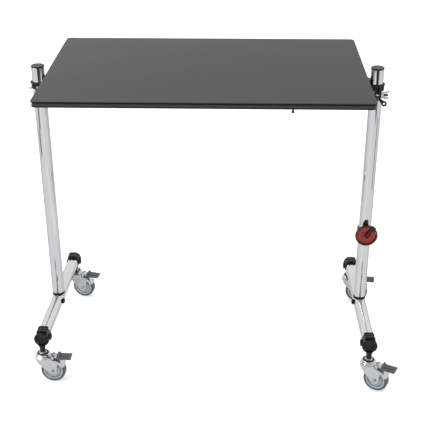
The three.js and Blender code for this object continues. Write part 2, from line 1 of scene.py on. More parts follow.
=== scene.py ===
"""Looks for the grooming table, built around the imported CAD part.

Shapes are written in millimetres in a small frame of their own (a caster's
swivel axis, a column's axis, the middle of the table) and then put in place.
"""

import json
import math

import bpy
from mathutils import Matrix, Vector


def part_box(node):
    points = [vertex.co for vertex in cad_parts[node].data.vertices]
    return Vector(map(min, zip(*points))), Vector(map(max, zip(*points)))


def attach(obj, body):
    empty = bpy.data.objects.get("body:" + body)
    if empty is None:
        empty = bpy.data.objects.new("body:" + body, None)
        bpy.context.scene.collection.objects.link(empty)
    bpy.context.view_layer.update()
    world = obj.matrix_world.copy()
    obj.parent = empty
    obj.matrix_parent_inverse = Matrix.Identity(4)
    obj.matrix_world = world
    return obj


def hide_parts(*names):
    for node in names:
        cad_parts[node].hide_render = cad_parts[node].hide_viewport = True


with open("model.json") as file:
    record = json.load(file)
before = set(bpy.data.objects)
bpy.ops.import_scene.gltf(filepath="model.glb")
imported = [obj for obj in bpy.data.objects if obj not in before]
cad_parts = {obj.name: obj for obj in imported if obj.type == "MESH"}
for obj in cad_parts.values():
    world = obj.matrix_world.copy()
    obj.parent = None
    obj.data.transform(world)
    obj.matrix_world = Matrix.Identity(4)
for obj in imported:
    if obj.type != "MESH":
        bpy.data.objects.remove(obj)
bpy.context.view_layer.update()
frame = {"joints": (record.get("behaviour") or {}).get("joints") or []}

MM = 0.001

# ------------------------------------------------------------ driving sizes (mm)

GAP = 0.3
TUBE_RADIUS = 21.2
TUBE_WALL = 2.0
FOOT_AXIS_Z = 162.4
FOOT_END_Y = 280.0
SLEEVE_RADIUS = 26.0
SLEEVE_LENGTH = 42.0
SLEEVE_DISC = 6.0       # thickness of a sleeve's closed end
STEM_Y = 276.0
NECK_BOTTOM = 117.0
HEAD_TOP = NECK_BOTTOM - 8
HEAD_BOTTOM = HEAD_TOP - 21
WHEEL_RADIUS = 42.0
WHEEL_WIDTH = 25.0
TRAIL = 32.0            # from the swivel axis to the axle
AXLE = (TRAIL, WHEEL_RADIUS)
STEM_RADIUS = 5.0
STEM_BORE = STEM_RADIUS + GAP
WHEEL_AXLE_RADIUS = 4.0
CLAMP_RADIUS = 25.3
BOLT_Y = -36.0
BOLT_Z = 956.0
BOLT_RADIUS = 4.0
BOLT_BORE = BOLT_RADIUS + GAP
CORNER_RADIUS = 15.0
SHARP_ANGLE = 38        # degrees past which an edge stays crisp
CASTING_ANGLE = 60

SIDES = ("left", "right")
CASTERS = ("front_left", "front_right", "rear_left", "rear_right")


# ------------------------------------------------------------------- mesh tools
# A raw shape is a list of points and a list of faces, in millimetres.


def placed(raw, matrix):
    points, faces = raw
    return [tuple(matrix @ Vector(p)) for p in points], faces


def shifted(raw, x=0.0, y=0.0, z=0.0):
    return placed(raw, Matrix.Translation((x, y, z)))


def turned(raw, degrees, axis):
    return placed(raw, Matrix.Rotation(math.radians(degrees), 4, axis))


def together(*raws):
    points, faces = [], []
    for more_points, more_faces in raws:
        start = len(points)
        points += more_points
        faces += [tuple(start + i for i in face) for face in more_faces]
    return points, faces


def rings(loops, cap=True, closed=False):
    """Join loops of points into a skin; the ends are capped, or joined when closed."""
    count = len(loops[0])
    points = [p for loop in loops for p in loop]
    faces = []
    steps = len(loops) if closed else len(loops) - 1
    for i in range(steps):
        a, b = i * count, ((i + 1) % len(loops)) * count
        for j in range(count):
            k = (j + 1) % count
            faces.append((a + j, a + k, b + k, b + j))
    if cap and not closed:
        faces.append(tuple(reversed(range(count))))
        faces.append(tuple(range((len(loops) - 1) * count, len(loops) * count)))
    return points, faces


def lathe(profile, segments):
    """Turn a [radius, height] outline about Z. Off-axis outlines are closed on themselves."""
    on_axis = profile[0][0] == 0 and profile[-1][0] == 0
    body = profile[1:-1] if on_axis else profile
    loops = []
    for radius, height in body:
        loops.append([
            (radius * math.cos(2 * math.pi * j / segments),
             radius * math.sin(2 * math.pi * j / segments), height)
            for j in range(segments)
        ])
    if not on_axis:
        return rings(loops, closed=True)
    points, faces = rings(loops, cap=False)
    low, high = len(points), len(points) + 1
    points += [(0, 0, profile[0][1]), (0, 0, profile[-1][1])]
    top = (len(loops) - 1) * segments
    for j in range(segments):
        k = (j + 1) % segments
        faces.append((low, k, j))
        faces.append((high, top + j, top + k))
    return points, faces


def arc(centre, radius, start, end, count):
    """Points of an arc between two angles in degrees."""
    u, v = centre
    points = []
    for i in range(count + 1):
        angle = math.radians(start + (end - start) * i / count)
        points.append((u + radius * math.cos(angle), v + radius * math.sin(angle)))
    return points


def rounded(corners, steps=5):
    """A closed outline from (u, v, radius) corners, with the corners rounded."""
    outline = []
    for i, (u, v, radius) in enumerate(corners):
        here = Vector((u, v))
        before = Vector(corners[i - 1][:2]) - here
        after = Vector(corners[(i + 1) % len(corners)][:2]) - here
        if radius <= 0:
            outline.append((u, v))
            continue
        half = before.angle(after) / 2
        reach = min(radius / math.tan(half), 0.49 * before.length, 0.49 * after.length)
        radius = reach * math.tan(half)
        centre = here + (before.normalized() + after.normalized()).normalized() * (
            radius / math.sin(half))
        start = here + before.normalized() * reach - centre
        sweep = (here + after.normalized() * reach - centre).angle_signed(start)
        for step in range(steps + 1):
            turn = Matrix.Rotation(sweep * step / steps, 2)
            outline.append(tuple(centre + turn @ start))
    return outline


def inset(outline, amount):
    """Move an anticlockwise outline inwards."""
    moved = []
    count = len(outline)
    for i, point in enumerate(outline):
        here = Vector(point)
        before = here - Vector(outline[i - 1])
        after = Vector(outline[(i + 1) % count]) - here
        normals = [Vector((-d.y, d.x)).normalized() for d in (before, after) if d.length > 1e-6]
        normal = sum(normals, Vector((0, 0)))
        if normal.length < 1e-6:
            moved.append(point)
            continue
        normal.normalize()
        stretch = max(0.5, normal.dot(normals[0]))
        moved.append(tuple(here + normal * amount / stretch))
    return moved


def anticlockwise(outline):
    area = sum(a[0] * b[1] - b[0] * a[1] for a, b in zip(outline, outline[1:] + outline[:1]))
    return outline if area > 0 else outline[::-1]


def rectangle(width, height, corner, steps=5):
    """An anticlockwise outline about the origin, with rounded corners."""
    a, b = width / 2, height / 2
    return rounded([(-a, -b, corner), (a, -b, corner), (a, b, corner), (-a, b, corner)], steps)


def stacked(outline, levels):
    """A flat shape in X and Y whose rim follows (inset, height) levels."""
    outline = anticlockwise(outline)
    return rings([[(u, v, z) for u, v in inset(outline, amount)] for amount, z in levels])


def slab(outline, bottom, top, edge):
    """A flat shape in X and Y between two heights, with rounded rims unless edge is 0."""
    if edge <= 0:
        levels = [(0, bottom), (0, top)]
    else:
        levels = [(edge, bottom), (0.3 * edge, bottom + 0.3 * edge), (0, bottom + edge),
                  (0, top - edge), (0.3 * edge, top - 0.3 * edge), (edge, top)]
    return stacked(outline, levels)


def prism(outline, thickness, middle, edge):
    """A flat shape in X and Z with a thickness along Y."""
    flat = slab(outline, -thickness / 2, thickness / 2, edge)
    return shifted(turned(flat, 90, "X"), y=middle)


def block(size, centre, edge, corner=1.0):
    """A box with rounded edges."""
    width, depth, height = size
    outline = rectangle(width, depth, corner, 3)
    return shifted(slab(outline, -height / 2, height / 2, edge), *centre)


def bar(radius, length, axis, centre, segments, edge=0.4):
    """A round bar with broken edges along an axis."""
    low, high = -length / 2, length / 2
    raw = lathe([(0, low), (radius - edge, low), (radius, low + edge), (radius, high - edge),
                 (radius - edge, high), (0, high)], segments)
    return shifted(along(raw, axis), *centre)


def along(raw, axis):
    """Turn a shape made along +Z so that it runs along +X or +Y."""
    if axis == "x":
        return turned(raw, 90, "Y")
    if axis == "y":
        return turned(raw, -90, "X")
    return raw


def hexagon(across, height, edge):
    """A six-sided block from 0 up to a height, measured across its flats."""
    return slab(arc((0, 0), across / math.sqrt(3), 0, 300, 5), 0, height, edge)


def added(name, data):
    """A new object in the scene."""
    obj = bpy.data.objects.new(name, data)
    bpy.context.scene.collection.objects.link(obj)
    return obj


def loose(raw):
    """An object made from a raw shape, in metres."""
    mesh = bpy.data.meshes.new("raw")
    mesh.from_pydata([(x * MM, y * MM, z * MM) for x, y, z in raw[0]], [], raw[1])
    mesh.update()
    return added("raw", mesh)


def evaluated(obj):
    """The object's mesh with its modifiers applied; the object is removed."""
    graph = bpy.context.evaluated_depsgraph_get()
    mesh = bpy.data.meshes.new_from_object(obj.evaluated_get(graph))
    bpy.data.objects.remove(obj)
    return mesh


def carve(adds, cuts):
    """Unite closed shapes and cut others out of them."""
    base = loose(adds[0])
    helpers = []
    for operation, raws in (("UNION", adds[1:]), ("DIFFERENCE", cuts)):
        for raw in raws:
            helper = loose(raw)
            modifier = base.modifiers.new("cut", "BOOLEAN")
            modifier.operation = operation
            modifier.solver = "EXACT"
            modifier.object = helper
            helpers.append(helper)
    mesh = evaluated(base)
    for helper in helpers:
        bpy.data.objects.remove(helper)
    return mesh


def melted(mesh, voxel, passes):
    """Give a mesh the soft edges of a casting; the voxel is in millimetres."""
    obj = added("casting", mesh)
    remesh = obj.modifiers.new("remesh", "REMESH")
    remesh.mode = "VOXEL"
    remesh.voxel_size = voxel * MM
    smooth = obj.modifiers.new("smooth", "SMOOTH")
    smooth.factor = 0.5
    smooth.iterations = passes
    return evaluated(obj)


def plain(raw):
    """A raw shape as a mesh."""
    return evaluated(loose(raw))


def piece(node, mesh, material, body, place, name=None, smooth=SHARP_ANGLE):
    """Finish a mesh as a piece that stands for a CAD node and moves with its body."""
    name = name or f"{node}_piece"
    mesh = mesh.copy()
    mesh.name = name
    mesh.materials.clear()
    mesh.materials.append(material)
    mesh.shade_smooth()
    mesh.set_sharp_from_angle(angle=math.radians(smooth))
    obj = added(name, mesh)
    obj.matrix_world = place
    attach(obj, body)
    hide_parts(node)


# -------------------------------------------------------------------- materials


NOISE_LOW, NOISE_HIGH = 0.3, 0.7    # most values of a noise lie between these


def finish(name, color, roughness, metallic=0.0, *, mottle, bump, specular=0.5,
           mottle_scale=25.0, grain_scale=900.0, depth=0.00006, streak=(1, 1, 1), spread=0.06):
    """A finish with drifting colour (mottle), uneven gloss (spread) and fine relief (bump)."""
    material = bpy.data.materials.new(name)
    material.use_nodes = True
    tree = material.node_tree
    nodes, links = tree.nodes, tree.links
    shader = nodes["Principled BSDF"]
    shader.inputs["Metallic"].default_value = metallic
    shader.inputs["Specular IOR Level"].default_value = specular

    place = nodes.new("ShaderNodeTexCoord")
    stretch = nodes.new("ShaderNodeMapping")
    stretch.inputs["Scale"].default_value = streak
    links.new(place.outputs["Object"], stretch.inputs["Vector"])

    drift = nodes.new("ShaderNodeTexNoise")
    drift.inputs["Scale"].default_value = mottle_scale
    drift.inputs["Detail"].default_value = 3
    links.new(place.outputs["Object"], drift.inputs["Vector"])
    tint = nodes.new("ShaderNodeMix")
    tint.data_type = "RGBA"
    tint.inputs["A"].default_value = (*[c * (1 - mottle) for c in color], 1)
    tint.inputs["B"].default_value = (*[c * (1 + mottle) for c in color], 1)
    links.new(drift.outputs["Fac"], tint.inputs["Factor"])

    grain = nodes.new("ShaderNodeTexNoise")
    grain.inputs["Scale"].default_value = grain_scale
    grain.inputs["Detail"].default_value = 2
    links.new(stretch.outputs["Vector"], grain.inputs["Vector"])
    gloss = nodes.new("ShaderNodeMapRange")
    gloss.inputs["From Min"].default_value = NOISE_LOW
    gloss.inputs["From Max"].default_value = NOISE_HIGH
    gloss.inputs["To Min"].default_value = roughness - spread
    gloss.inputs["To Max"].default_value = roughness + spread
    links.new(grain.outputs["Fac"], gloss.inputs["Value"])
    relief = nodes.new("ShaderNodeBump")
    relief.inputs["Strength"].default_value = bump
    relief.inputs["Distance"].default_value = depth
    links.new(grain.outputs["Fac"], relief.inputs["Height"])

    links.new(tint.outputs["Result"], shader.inputs["Base Color"])
    links.new(gloss.outputs["Result"], shader.inputs["Roughness"])
    links.new(relief.outputs["Normal"], shader.inputs["Normal"])
    return material


chrome = finish("chrome", (0.7, 0.71, 0.73), 0.06, 1.0, mottle=0.02, mottle_scale=9,
                grain_scale=60, bump=0.02, depth=0.0002, streak=(1, 1, 0.15), spread=0.02)
laminate_top = finish("laminate_top", (0.05, 0.051, 0.053), 0.52, mottle=0.035, mottle_scale=7,
                      grain_scale=1500, bump=0.25, depth=0.00008, spread=0.08, specular=0.25)
laminate_edge = finish("laminate_edge", (0.036, 0.037, 0.039), 0.5, mottle=0.05,
                       grain_scale=1200, bump=0.2, specular=0.3)
# Near-black for the backing sheet, and painted shade on the lower half of the top's rolled edge.
black_backing = finish("black_backing", (0.006, 0.006, 0.007), 0.65, mottle=0.15,
                       grain_scale=1600, bump=0.4, depth=0.0001, specular=0.15)
black_plastic = finish("black_plastic", (0.007, 0.007, 0.008), 0.22, mottle=0.15,
                       grain_scale=1100, bump=0.12, depth=0.00005, specular=0.3)
black_casting = finish("black_casting", (0.006, 0.006, 0.007), 0.4, mottle=0.2,
                       grain_scale=1400, bump=0.35, depth=0.0001, specular=0.25)
nylon = finish("nylon", (0.014, 0.014, 0.015), 0.5, mottle=0.1, bump=0.15)
steel = finish("steel", (0.48, 0.49, 0.5), 0.35, 1.0, mottle=0.06, grain_scale=350,
               bump=0.1, streak=(1, 0.05, 1), spread=0.1)
# Painted shade: the thread between the nut's wings, which lies in shadow, is coloured as a dark
# steel.
thread_painted_shade = finish("thread_painted_shade", (0.06, 0.06, 0.062), 0.4, 0.8, mottle=0.1, bump=0.1)
zinc = finish("zinc", (0.62, 0.64, 0.66), 0.17, 1.0, mottle=0.07, mottle_scale=60,
              grain_scale=700, bump=0.1, spread=0.08)
rim_plastic = finish("rim_plastic", (0.4, 0.44, 0.47), 0.42, mottle=0.04, bump=0.1)
tyre = finish("tyre", (0.085, 0.092, 0.1), 0.6, mottle=0.1, bump=0.3, depth=0.0001)
pedal_plastic = finish("pedal_plastic", (0.095, 0.098, 0.1), 0.5, mottle=0.08, bump=0.25,
                       depth=0.0001, specular=0.35)
red_plastic = finish("red_plastic", (0.3, 0.02, 0.022), 0.3, mottle=0.08, bump=0.08,
                     specular=0.35)
dark_red_plastic = finish("dark_red_plastic", (0.075, 0.014, 0.01), 0.3, mottle=0.1, bump=0.08,
                          specular=0.35)
crank_black = finish("crank_black", (0.03, 0.017, 0.012), 0.32, mottle=0.15, bump=0.1,
                     specular=0.3)
seal_black = finish("seal_black", (0.03, 0.032, 0.034), 0.45, mottle=0.1, bump=0.15)


# ---------------------------------------------------------------------- places

joints = {joint["name"]: joint for joint in frame["joints"]}
INWARD = {"left": 1, "right": -1}       # the way along X from a leg to the middle


def centre_of(node):
    low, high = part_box(node)
    return (low + high) / 2


def joint_place(name):
    return Vector(joints[name]["pos_m"])


def on_floor(point):
    """A shift to the place on the floor below a point."""
    return Matrix.Translation((point.x, point.y, 0))


def leg_turn(side):
    """The turn of a leg about its column, which points its front end a little outwards."""
    front = joint_place(f"swivel_front_{side}_turn")
    rear = joint_place(f"swivel_rear_{side}_turn")
    return Matrix.Rotation(math.atan2(front.x - rear.x, rear.y - front.y), 4, "Z")


def leg_matrix(side):
    """The column's axis on the floor, turned to run along the foot."""
    return on_floor(centre_of(f"column_tube_{side}")) @ leg_turn(side)


def foot_matrix(side):
    """The point on the floor midway between a leg's casters, turned along the foot."""
    middle = (joint_place(f"swivel_front_{side}_turn")
              + joint_place(f"swivel_rear_{side}_turn")) / 2
    return on_floor(middle) @ leg_turn(side)


def caster_matrix(caster):
    """The swivel axis on the floor, with +X along the trail."""
    swivel = joint_place(f"swivel_{caster}_turn")
    out = joint_place(f"wheel_{caster}_roll") - swivel
    heading = math.atan2(out.y, out.x)
    return on_floor(swivel) @ Matrix.Rotation(heading, 4, "Z")


def clamp_matrix(side):
    """The column's axis on the floor; the left clamp faces the other way."""
    turn = math.pi if side == "left" else 0
    return on_floor(centre_of(f"column_tube_{side}")) @ Matrix.Rotation(turn, 4, "Z")


def facing_in(raw, side):
    """Turn a shape that points along +X so that it points to the middle of the table."""
    return raw if INWARD[side] > 0 else turned(raw, 180, "Z")


# ----------------------------------------------------------------------- table

top_low, top_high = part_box("top_panel")
TABLE_TOP = top_high.z / MM
PANEL_BOTTOM = top_low.z / MM
TABLE_WIDTH = (top_high.x - top_low.x) / MM
TABLE_DEPTH = (top_high.y - top_low.y) / MM
# The board and its backing sheet are this much less wide and deep than the upper panel.
BOARD_LESS = 5
SHEET_LESS = 3
RAIL_WALL = 3.0
RAIL_SCREWS = (-225, -80, 80, 225)
table_matrix = on_floor(centre_of("top_panel"))


def board(less, levels):
    """A board that is less wide and deep than the top; its rim follows (inset, height) levels."""
    outline = rectangle(TABLE_WIDTH - less, TABLE_DEPTH - less, CORNER_RADIUS, 10)
    return plain(stacked(outline, levels))


def make_table():
    """The upper panel with its rolled edge and the painted shade below its rim, the core and the
    backing sheet.
    """
    top = TABLE_TOP
    low = PANEL_BOTTOM
    panel = board(0, [
        (12, top - 2.8), (1.7, top - 2.6), (0.9, top - 1.8), (1.1, top - 1.1),
        (1.8, top - 0.5), (2.6, top - 0.15), (3.6, top),
    ])
    # Painted shade: the lower half of the rolled edge, which lies in shadow, is a near-black
    # piece of its own.
    painted_lip_shade = board(0, [
        (14, low + 1), (4.4, low + 1), (2.2, low + 1.3), (0.9, low + 2.1), (0.2, low + 3.2),
        (0, low + 4), (0.3, top - 2.4), (0.8, top - 2.1), (14, top - 2.1),
    ])
    piece("top_panel", painted_lip_shade, black_backing, "table", table_matrix,
          "top_panel_painted_shade")
    piece("top_panel", panel, laminate_top, "table", table_matrix)

    core_low, core_high = (corner.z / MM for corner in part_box("top_core"))
    core = board(BOARD_LESS, [
        (0.8, core_low), (0.2, core_low + 0.4), (0, core_low + 1.2), (0, core_high - 0.6),
        (0.4, core_high + 0.2), (1.4, core_high + 0.7), (6.5, core_high + 0.8),
    ])
    piece("top_core", core, laminate_edge, "table", table_matrix)

    sheet_low, sheet_high = (corner.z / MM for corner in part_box("backing_sheet"))
    sheet = board(SHEET_LESS, [
        (0.9, sheet_low), (0.2, sheet_low + 0.3), (0, sheet_low + 0.9),
        (0, sheet_high - 0.6), (0.4, sheet_high),
    ])
    piece("backing_sheet", sheet, black_backing, "table", table_matrix)


def make_peg():
    """The knob on a stem under the front edge."""
    low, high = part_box("hook_peg")
    peg = lathe([
        (0, -16), (1.6, -16), (3.2, -15.6), (4.3, -14.6), (4.6, -13), (4.3, -11.6), (3.4, -10.6),
        (3, -9.6), (3, -4.8), (3.4, -3.6), (7.4, -3.1), (8, -2.6), (8, 0), (0, 0),
    ], 40)
    at = Matrix.Translation(((low.x + high.x) / 2, (low.y + high.y) / 2, high.z))
    piece("hook_peg", plain(peg), black_plastic, "table", at)


def make_rail(side):
    """A box tube with rounded corners, and the screws that hold it to the top."""
    node = f"side_rail_{side}"
    low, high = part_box(node)
    size = (high - low) / MM
    outer = rectangle(size.x, size.z, 3.2)
    inner = rectangle(size.x - 2 * RAIL_WALL, size.z - 2 * RAIL_WALL, 1.2)
    half = size.y / 2
    loops = [[(u, y, v) for u, v in outline] for outline, y in (
        (outer, -half + 0.5), (inset(outer, 0.5), -half), (inner, -half), (inner, half),
        (inset(outer, 0.5), half), (outer, half - 0.5),
    )]
    middle = Matrix.Translation((low + high) / 2)
    piece(node, plain(rings(loops, closed=True)), steel, "table", middle)

    head = lathe([(0, -1.0), (2.2, -1.0), (2.6, -2.4), (4.4, -2.2), (5.6, -1.2), (6, 0), (0, 0)],
                 28)
    heads = [shifted(head, y=y, z=-size.z / 2 + 0.2) for y in RAIL_SCREWS]
    piece(node, plain(together(*heads)), zinc, "table", middle, f"{node}_screws")


# ---------------------------------------------------------------------- clamps

EAR_HALF = 10.5
EAR_FRONT = BOLT_Y - 8
EAR_BOTTOM = BOLT_Z - 8
NUT_SEAT = EAR_HALF + GAP
HINGE_Y = CLAMP_RADIUS + 3.5
HINGE_DROP = 11.5       # from the top of the ring down to the hinge pin
ARM_START = -20         # the arm leaves the ring here, on its inner side
ARM_PAST_RAIL = 26      # and ends this far beyond the middle of the rail
NUT_TURN = {"left": 60, "right": 18}
NUT_OUT = {"left": 5, "right": 0}       # how far a nut is screwed off its seat
EYE_OUT = 14
EYE_DROP = 20
EYE_HOLE = 3.6


def make_clamp(side):
    """The split casting with its hinge lug, ears, tether eye and arm, its liner and its pin."""
    node = f"clamp_body_{side}"
    low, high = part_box(f"clamp_liner_{side}")
    bottom, top = low.z / MM, high.z / MM
    middle = (top + bottom) / 2
    bore = TUBE_RADIUS + 2 * GAP + 1
    place = clamp_matrix(side)
    rail_low, rail_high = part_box(f"side_rail_{side}")
    column_x = abs(centre_of(f"column_tube_{side}").x - table_matrix.translation.x) / MM
    rail_x = abs((rail_low.x + rail_high.x) / 2 - table_matrix.translation.x) / MM
    arm_inner = rail_x - ARM_PAST_RAIL - column_x
    arm_top = rail_low.z / MM - GAP
    hinge_z = top - HINGE_DROP

    ring = lathe([(0, bottom), (CLAMP_RADIUS, bottom), (CLAMP_RADIUS, top - 5),
                  (CLAMP_RADIUS + 1.7, top - 4.5), (CLAMP_RADIUS + 1.7, top), (0, top)], 96)
    ears = block((2 * EAR_HALF, -EAR_FRONT - 16, top - 1 - EAR_BOTTOM),
                 (0, (EAR_FRONT - 16) / 2, (top - 1 + EAR_BOTTOM) / 2), edge=1.2, corner=3)
    lug = block((14, 9, 15), (0, HINGE_Y - 2, hinge_z), edge=1, corner=2)
    tab = block((4, 4, 24), (6, HINGE_Y - 1.5, hinge_z - 8), edge=0.8, corner=1)
    arm = block((ARM_START - arm_inner, 40, arm_top - bottom - 3),
                ((ARM_START + arm_inner) / 2, 0, (arm_top + bottom + 3) / 2), edge=1.5, corner=3)
    rib_start = ARM_START - 2
    rib = block((rib_start - arm_inner, 7, 12), ((rib_start + arm_inner) / 2, 0, bottom + 4),
                edge=1)
    eye_x, eye_y, eye_z = EAR_HALF - 2 + EYE_OUT, EAR_FRONT + 4, EAR_BOTTOM - EYE_DROP
    eye = lathe([(EYE_HOLE, -2.4), (4.2, -3), (8.2, -3), (9, -2.2), (9, 2.2), (8.2, 3),
                 (4.2, 3), (EYE_HOLE, 2.4)], 40)
    link = prism(rounded([
        (EAR_HALF - 10, EAR_BOTTOM + 4, 0), (EAR_HALF - 6, EAR_BOTTOM - 8, 2),
        (eye_x - 6, eye_z - 4, 1), (eye_x + 3, eye_z + 7, 1), (EAR_HALF - 1, EAR_BOTTOM - 3, 1),
        (EAR_HALF - 1, EAR_BOTTOM + 4, 0)]), 6, eye_y, 0.6)
    split = block((4, 42, 90), (0, -38, middle), edge=0, corner=0)
    window = block((12, 14, 11), (0, BOLT_Y - 3, BOLT_Z), edge=0.5, corner=0.8)
    cuts = [
        bar(bore, 80, "z", (0, 0, middle), 96),
        split,
        window,
        bar(BOLT_BORE, 60, "x", (0, BOLT_Y, BOLT_Z), 32),
        bar(2.3, 20, "y", (0, HINGE_Y, hinge_z), 24),
        bar(EYE_HOLE, 20, "y", (eye_x, eye_y, eye_z), 32),
    ]
    eye_placed = shifted(along(eye, "y"), eye_x, eye_y, eye_z)
    body = melted(carve([ring, ears, lug, tab, arm, rib, link, eye_placed], cuts), 0.6, 4)
    piece(node, body, black_casting, "table", place, smooth=CASTING_ANGLE)

    liner = carve([lathe([
        (bore - GAP - 0.3, bottom + 0.1), (bore - GAP, bottom + 0.5), (bore - GAP, top - 0.5),
        (bore - GAP - 0.3, top - 0.1), (TUBE_RADIUS + GAP, top - 0.1),
        (TUBE_RADIUS + GAP, bottom + 0.1)], 96)], [block((3.4, 30, 60), (0, -24, middle), 0, 0)])
    piece(f"clamp_liner_{side}", liner, nylon, "table", place)

    end = HINGE_Y + 2.5 + GAP
    head = carve(
        [shifted(along(lathe([(0, -3.5), (2, -3.5), (2, 0), (3.3, 0), (3.3, 0.6), (2.6, 1.3),
                              (1.4, 1.6), (0, 1.6)], 36), "y"), y=end)],
        [block((0.9, 1.4, 8), (0, end + 1.6, 0), 0, 0)])
    piece(f"hinge_pin_{side}", head, zinc, "table",
          place @ Matrix.Translation((0, 0, hinge_z * MM)))


def make_bolt(side):
    """Domed head with a ring groove, plain shank, and a thread past the nut, darkened with
    painted shade.
    """
    pitch = 1.25
    start = 19.0
    turns = 11
    tip = 34
    root, crest = 3.4, BOLT_RADIUS
    shank = [(0, -12), (crest, -12), (crest, start), (0, start)]
    thread = [(0, start), (root, start)]
    for i in range(turns):
        z = start + i * pitch
        thread += [(root, z + 0.1), (crest, z + 0.5), (crest, z + 0.7), (root, z + 1.1)]
    thread += [(2.8, tip - 0.6), (2.2, tip), (0, tip)]
    head = [(0, -14.8), (2.4, -14.8), (2.4, -13.2), (2.9, -14.8), (5.2, -14.6), (6.5, -13.6),
            (7, -12.2), (7, -10.8), (0, -10.8)]
    node = f"clamp_bolt_{side}"
    place = clamp_matrix(side) @ Matrix.Translation((0, BOLT_Y * MM, BOLT_Z * MM))
    bright = together(along(lathe(shank, 40), "x"), along(lathe(head, 40), "x"))
    piece(node, plain(bright), zinc, "table", place, f"{node}_shank")
    piece(node, plain(along(lathe(thread, 40), "x")), thread_painted_shade, "table", place,
          f"{node}_thread")


def make_wing_nut(side):
    """A flared hub with two wings that sweep outwards."""
    seat = NUT_SEAT
    hub = along(lathe([
        (0, seat), (8.6, seat), (9, seat + 0.5), (9, seat + 1.6), (7.8, seat + 3.4),
        (7.2, seat + 6.5), (6.8, seat + 8.4), (6.2, seat + 9), (0, seat + 9),
    ], 64), "x")
    wing = prism(rounded([
        (seat + 2, 1, 0), (seat + 11, 1, 0), (seat + 14, 7, 3), (seat + 25, 8.4, 3.5),
        (seat + 27.5, 12.5, 2.5), (seat + 25, 16.4, 3.5), (seat + 16, 15, 5),
        (seat + 6, 11.5, 4), (seat + 2, 6, 2)]), 4.2, 0, 1.1)
    mesh = melted(carve([hub, wing, turned(wing, 180, "X")],
                        [bar(BOLT_BORE, 90, "x", (0, 0, 0), 32)]), 0.45, 3)
    angle = Matrix.Rotation(math.radians(NUT_TURN[side]), 4, "X")
    at = Matrix.Translation((NUT_OUT[side] * MM, BOLT_Y * MM, BOLT_Z * MM))
    place = clamp_matrix(side) @ at @ angle
    node = f"wing_nut_{side}"
    piece(node, mesh, zinc, node, place, smooth=CASTING_ANGLE)


# ------------------------------------------------------------------------ legs


def tube(length, start):
    """A tube along +Z with broken edges, drawn up to its ends."""
    outer, inner, end = TUBE_RADIUS, TUBE_RADIUS - TUBE_WALL, start + length
    return lathe([
        (inner, start + 0.4), (inner + 0.4, start), (outer - 0.6, start), (outer, start + 0.6),
        (outer, end - 0.6), (outer - 0.6, end), (inner + 0.4, end), (inner, end - 0.4),
    ], 128)


def make_leg(side):
    """Column with its cap and saddle, and the foot tube with its domed screw cap."""
    place = leg_matrix(side)
    body = f"{side}_leg"
    low, high = (corner.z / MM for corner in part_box(f"column_tube_{side}"))
    column = plain(tube(high - low, low))
    piece(f"column_tube_{side}", column, chrome, body, place)

    r = TUBE_RADIUS
    cap_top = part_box(f"column_cap_{side}")[1].z / MM
    cap = lathe([
        (0, high - 16), (r - 3.5, high - 16), (r - 2.3, high - 14), (r - 2.3, high + 0.3),
        (r - 0.1, high + 0.3), (r + 0.3, high + 0.7), (r + 0.3, cap_top - 2.4),
        (r, cap_top - 1.3), (r - 0.9, cap_top - 0.4), (r - 2.2, cap_top), (r - 4, cap_top),
        (r - 4.8, cap_top - 0.3), (r - 5.4, cap_top - 0.9), (0, cap_top - 0.9),
    ], 96)
    piece(f"column_cap_{side}", plain(cap), black_plastic, body, place)

    rim = r + 0.8
    saddle = carve([lathe([
        (0, low - 10), (rim - 0.5, low - 10), (rim, low - 9.4), (rim, low - 1.4),
        (rim - 0.8, low - 0.4), (r - 2.3, low - 0.4), (r - 2.3, low + 24), (0, low + 25),
    ], 96)], [bar(r + GAP, 100, "y", (0, 0, FOOT_AXIS_Z), 96)])
    piece(f"column_saddle_{side}", saddle, black_plastic, body, place)

    half = FOOT_END_Y - SLEEVE_DISC - GAP
    foot = shifted(along(tube(2 * half, -half), "y"), z=FOOT_AXIS_Z)
    piece(f"foot_tube_{side}", plain(foot), chrome, body, foot_matrix(side))

    cap_at = centre_of(f"foot_screw_cap_{side}")
    rise = 7.4
    dome = along(lathe([
        (0, 0), (10, 0), (10, 4), (9.4, 5), (8.2, 6.3), (6, 7.1), (4.4, rise), (3.6, 7.2),
        (3.2, 5.6), (0, 5.6)], 48), "x")
    dome = facing_in(shifted(dome, x=-rise / 2), side)
    piece(f"foot_screw_cap_{side}", plain(dome), black_plastic, body,
          Matrix.Translation(cap_at) @ leg_turn(side))


